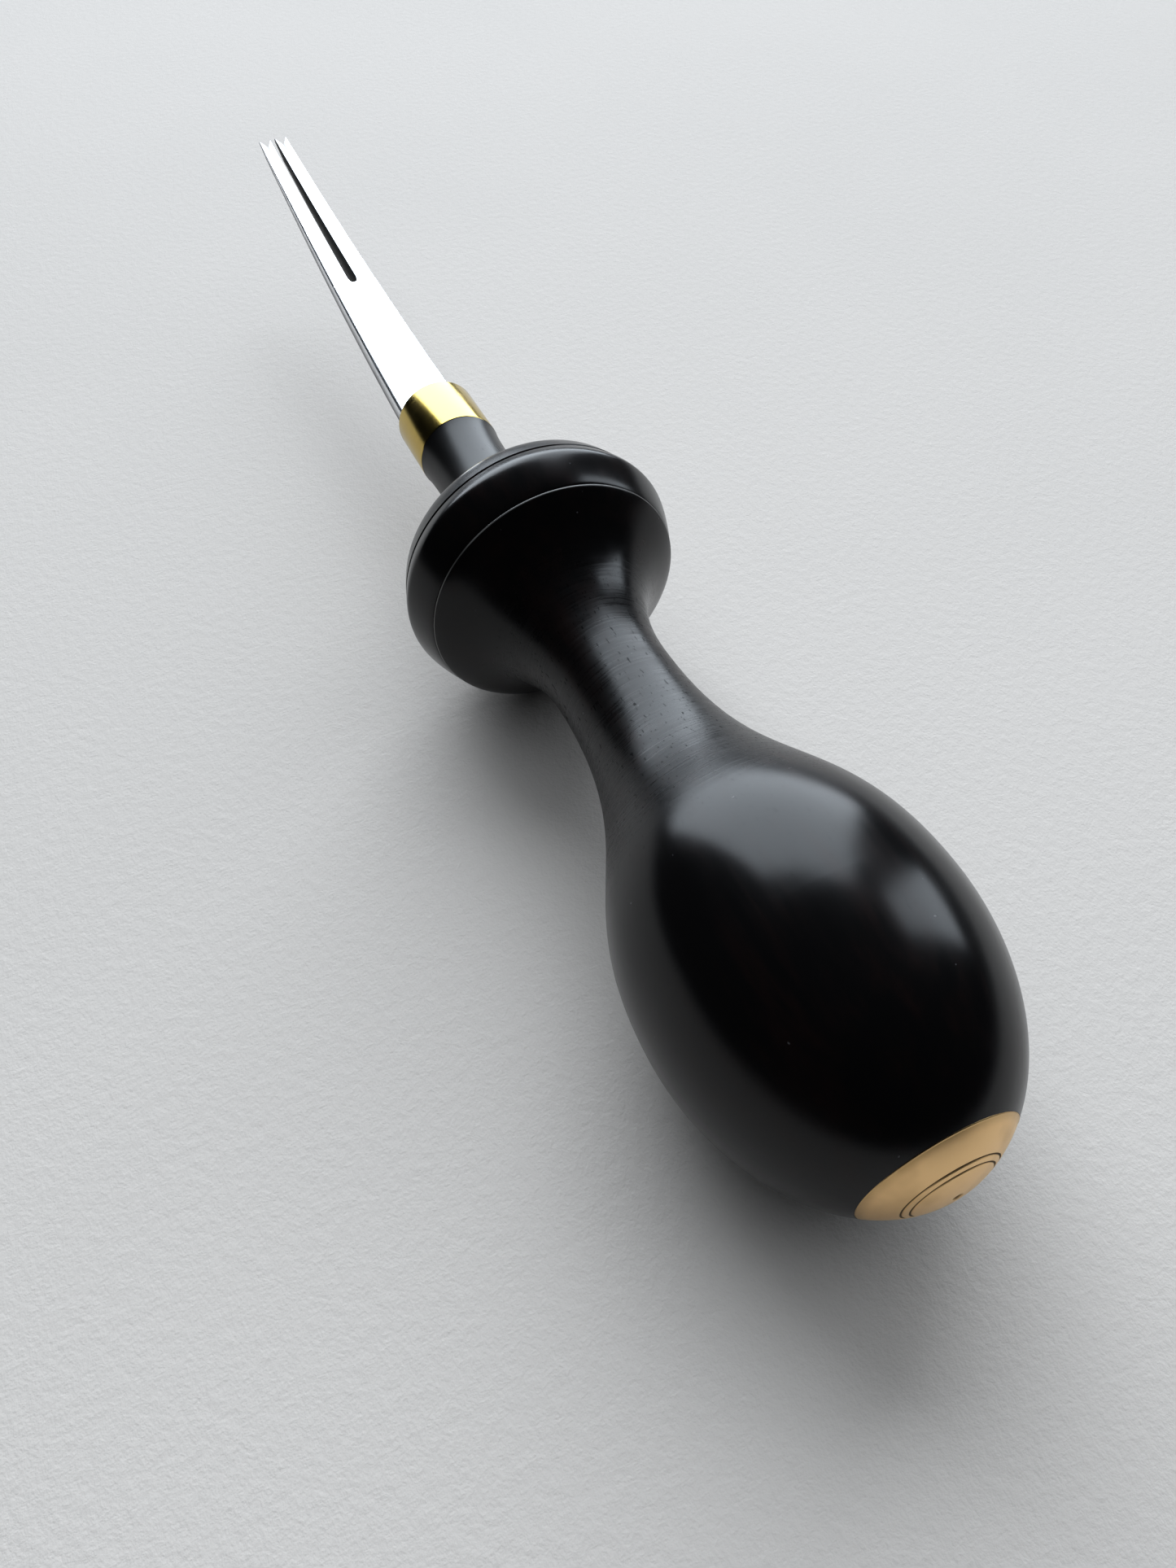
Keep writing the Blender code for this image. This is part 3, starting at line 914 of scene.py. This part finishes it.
def bladeColumns(station, half, top, bottom, edge):
    # from the outside of a prong to the slot: station, distance from the middle, top and bottom
    slot = slotHalf(station)
    drop = min(edge, blade["steepest"] * (top - bottom))
    lip = min(blade["slotEdge"], slot, blade["steepest"] * (top - bottom))
    flute = blade["fluteDepth"] * towardsTip(station, blade["fluteLength"]) ** blade["fluteFade"]
    notch = blade["notchDepth"] * towardsTip(station, blade["notchRun"]) ** blade["notchFade"]
    crownDrop = blade["crown"] * min(1.0, slot / blade["slotTip"] * 2)
    columns = []
    last = blade["edgeColumns"] - 1
    for step in range(blade["edgeColumns"]):
        angle = math.pi / 2 * step / last
        columns.append([half - edge * (1 - math.cos(angle)), drop * (1 - math.sin(angle))])
    inner = half - edge
    for step in range(1, blade["topColumns"] + 1):
        share = step / blade["topColumns"]
        columns.append([inner + (slot + lip - inner) * share, 0.0])
    for step in (1, 2, 3):
        angle = math.pi / 6 * step
        columns.append([slot + lip * (1 - math.sin(angle)), lip * (1 - math.cos(angle))])
    points = []
    width = max(half - slot, blade["weld"])
    belly = blade["belly"] * (top - bottom)
    for away, low in columns:
        share = (away - slot) / width
        vee = 1 - abs(2 * share - 1)
        dome = crownDrop * (2 * share - 1) ** 2
        rise = belly * (1 - math.sqrt(max(0.0, 1 - (away / half) ** 2)))
        points.append((station - notch * vee, away, top - low - dome - flute * vee, bottom + rise))
    return points


def bladeStations():
    root = shoulderStation + blade["shoulder"]
    rows, endRows, notchRows = blade["rows"], blade["slotEndRows"], blade["notchRows"]
    stations = [root + (tipStation - root) * step / rows for step in range(rows + 1)]
    stations += [slotStart + blade["slotEnd"] * (1 - math.cos(math.pi / 2 * step / endRows))
                 for step in range(endRows + 1)]
    stations += [tipStation - blade["notchRun"] * (step / notchRows) for step in range(1, notchRows)]
    stations.append(tipStation - blade["grind"])
    kept = []
    for station in sorted(stations):
        if not kept or station - kept[-1] > blade["leastStep"]:
            kept.append(station)
    kept[-1] = tipStation
    return kept


bladeLook = {
    "slotShade": 0.95,      # how dark the painted shade is in the slot, on the sides and underneath
    "sideShade": 0.80,
    "underShade": 0.75,
    "slotReach": 0.6,       # share of the slot's rounding that is black
    "sideReach": 0.25,      # share of the long edge's rounding that is black
    "sideDepth": 0.2,       # shares of the thickness, from the top
    "underDepth": 0.5,
    "fluteShadeDepth": 0.6,
    "underFade": (2.2, 0.9),
    "fluteShadeGain": 1.3,
    "fluteShadeMiddle": 0.55,   # share of the painted flute shade that only the middle of a flute has
}


def paintBlade(mesh):
    # painted shade on the sides, in the slot and underneath, and painted lilac shade in the flutes
    look = bladeLook
    paintedShade = mesh.attributes.new("paintedShade", "FLOAT", "POINT")
    fluteShade = mesh.attributes.new("fluteShade", "FLOAT", "POINT")
    for vertex in mesh.vertices:
        station, y, z = vertex.co
        away = abs(y)
        half, top, bottom, edge = bladeProfile(station)
        slot = slotHalf(station)
        depth = (top - z) / (top - bottom)
        # painted shade: nearly black in the slot, dark on the sides, darker underneath towards the outer
        # edges
        if slot > 0 and away - slot < blade["slotEdge"] * look["slotReach"]:
            black = look["slotShade"]
        elif away > half - edge * look["sideReach"] and depth > look["sideDepth"]:
            black = look["sideShade"]
        elif depth > look["underDepth"]:
            steep, start = look["underFade"]
            black = look["underShade"] * min(1.0, max(0.0, steep * away / half - start))
        else:
            black = 0.0
        paintedShade.data[vertex.index].value = black
        # painted shade in the flutes near the points, darkest along their middle, on the top only
        fluted = min(1.0, towardsTip(station, blade["fluteLength"]) * look["fluteShadeGain"])
        middle = max(0.0, 1 - abs(2 * (away - slot) / max(half - slot, blade["weld"]) - 1))
        fluteShading = fluted * (1 - look["fluteShadeMiddle"] * (1 - middle))
        fluteShade.data[vertex.index].value = fluteShading if depth < look["fluteShadeDepth"] else 0.0


def makeBlade(material):
    halfTang = blade["tangThickness"] / 2
    tangStart = shoulderStation - blade["tangLength"]
    rows = [bladeColumns(station, blade["tangWidth"] / 2, halfTang, -halfTang, blade["tangEdge"])
            for station in (tangStart, shoulderStation)]
    rows += [bladeColumns(station, *bladeProfile(station)) for station in bladeStations()]
    bm = bmesh.new()
    grids = []
    for hand in (-1, 1):
        grids.append([[(bm.verts.new((x, hand * y, above)), bm.verts.new((x, hand * y, below)))
                       for x, y, above, below in row] for row in rows])
    for grid in grids:
        for near, far in zip(grid, grid[1:]):
            for column in range(len(near) - 1):
                for level in (0, 1):
                    bm.faces.new((near[column][level], near[column + 1][level],
                                  far[column + 1][level], far[column][level]))
            bm.faces.new((near[0][0], near[0][1], far[0][1], far[0][0]))
            # the slot's wall, where there is a slot
            if abs(far[-1][0].co.y) > blade["weld"]:
                bm.faces.new((near[-1][0], near[-1][1], far[-1][1], far[-1][0]))
        for row in (grid[0], grid[-1]):
            for column in range(len(row) - 1):
                bm.faces.new((row[column][0], row[column + 1][0], row[column + 1][1], row[column][1]))
    bmesh.ops.remove_doubles(bm, verts=bm.verts, dist=blade["weld"])
    bmesh.ops.dissolve_degenerate(bm, edges=bm.edges, dist=blade["weld"] / 2)
    mesh = bpy.data.meshes.new("blade")
    bm.to_mesh(mesh)
    bm.free()
    mesh.materials.append(material)
    paintBlade(mesh)
    return finishedPiece(mesh, "blade_steel", 40)


bladePiece = makeBlade(steelFinish())
print("blade forged:", len(bladePiece.data.polygons), "faces")

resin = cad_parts["tang_bedding"]
resin.data.materials.clear()
resin.data.materials.append(resinFinish())

for piece, node, slot in ((handle, "handle", "ebony"), (cap, "end_cap", "brass"),
                          (ferrule, "ferrule", "brass"), (bladePiece, "blade", "steel")):
    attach(piece, "root")
    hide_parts(node)
print("pieces ride on the frame")


studio = {
    "floorSize": 4.0,
    "floorGap": 0.00002,
    "room": (0.006, 0.007, 0.009),
    "daylight": (0.85, 0.925, 1.0),
    "window": {"near": 3.2, "azimuths": (-56, 20), "elevations": (7, 62), "radiance": 4.8},
    "card": {"near": 0.42, "azimuths": (-102, -81), "elevations": (14, 50), "radiance": 3.6},
    "side": {"near": 3.2, "azimuths": (-130, -72), "elevations": (10, 60), "radiance": 1.0},
    "ceiling": {"height": 2.0, "size": 2.4, "radiance": 0.9},
}


def makeFloor():
    mesh = bpy.data.meshes.new("floor")
    bm = bmesh.new()
    bmesh.ops.create_grid(bm, x_segments=4, y_segments=4, size=studio["floorSize"] / 2)
    bm.to_mesh(mesh)
    bm.free()
    mesh.materials.append(paperFinish())
    floor = bpy.data.objects.new("floor", mesh)
    bpy.context.scene.collection.objects.link(floor)
    floor.location.z = cadBounds[0][2] - studio["floorGap"]


def makeLight(name, width, height, radiance):
    light = bpy.data.lights.new(name, "AREA")
    light.shape = "RECTANGLE"
    light.size = width
    light.size_y = height
    light.energy = radiance * math.pi * width * height
    light.color = studio["daylight"]
    lamp = bpy.data.objects.new(name, light)
    bpy.context.scene.collection.objects.link(lamp)
    lamp.visible_camera = False
    return lamp


def makeWindow(name):
    # an upright pane that spans these directions, in degrees, as seen from the tool at this distance
    sizes = studio[name]
    near, azimuths = sizes["near"], sizes["azimuths"]
    facing = math.radians(sum(azimuths) / 2)
    width = 2 * near * math.tan(math.radians(azimuths[1] - azimuths[0]) / 2)
    low, high = [near * slopeOf(angle) for angle in sizes["elevations"]]
    pane = makeLight(name, width, high - low, sizes["radiance"])
    away = Vector((math.cos(facing), math.sin(facing), 0))
    pane.location = away * near + Vector((0, 0, (low + high) / 2))
    pane.rotation_euler = away.to_track_quat("Z", "Y").to_euler()
    return pane


def makeCeiling():
    # the paper's own light from above, which the polish doesn't mirror
    sizes = studio["ceiling"]
    ceiling = makeLight("ceiling", sizes["size"], sizes["size"], sizes["radiance"])
    ceiling.location.z = sizes["height"]
    ceiling.visible_glossy = False


view = {
    "sensor": 36,
    "lens": 27.0327,        # the frame's long side is the sensor's width
    "nearest": 0.005,
    "place": (-0.09635, 0.0349, 0.0944),
    "right": (-0.42854, -0.90352, 0),
    "up": (0.70557, -0.33466, 0.62464),
}


def makeCamera():
    camera = bpy.data.cameras.new("camera")
    camera.sensor_width = view["sensor"]
    camera.lens = view["lens"]
    camera.clip_start = view["nearest"]
    eye = bpy.data.objects.new("camera", camera)
    bpy.context.scene.collection.objects.link(eye)
    right, up = Vector(view["right"]), Vector(view["up"])
    turnTo = Matrix((right, up, right.cross(up))).transposed().to_4x4()
    eye.matrix_world = Matrix.Translation(view["place"]) @ turnTo
    bpy.context.scene.camera = eye


def makeRoom():
    world = bpy.data.worlds.new("room")
    world.use_nodes = True
    world.node_tree.nodes["Background"].inputs["Color"].default_value = (*studio["room"], 1)
    bpy.context.scene.world = world
    bpy.context.scene.view_settings.view_transform = "Standard"
    bpy.context.scene.view_settings.look = "Medium High Contrast"


makeFloor()
makeWindow("window")
# a card close by the bulb shows in the polish and leaves the paper as it is
makeWindow("card").visible_diffuse = False
# light from the side, for the paper alone
makeWindow("side").visible_glossy = False
makeCeiling()
makeCamera()
makeRoom()
print("studio set")
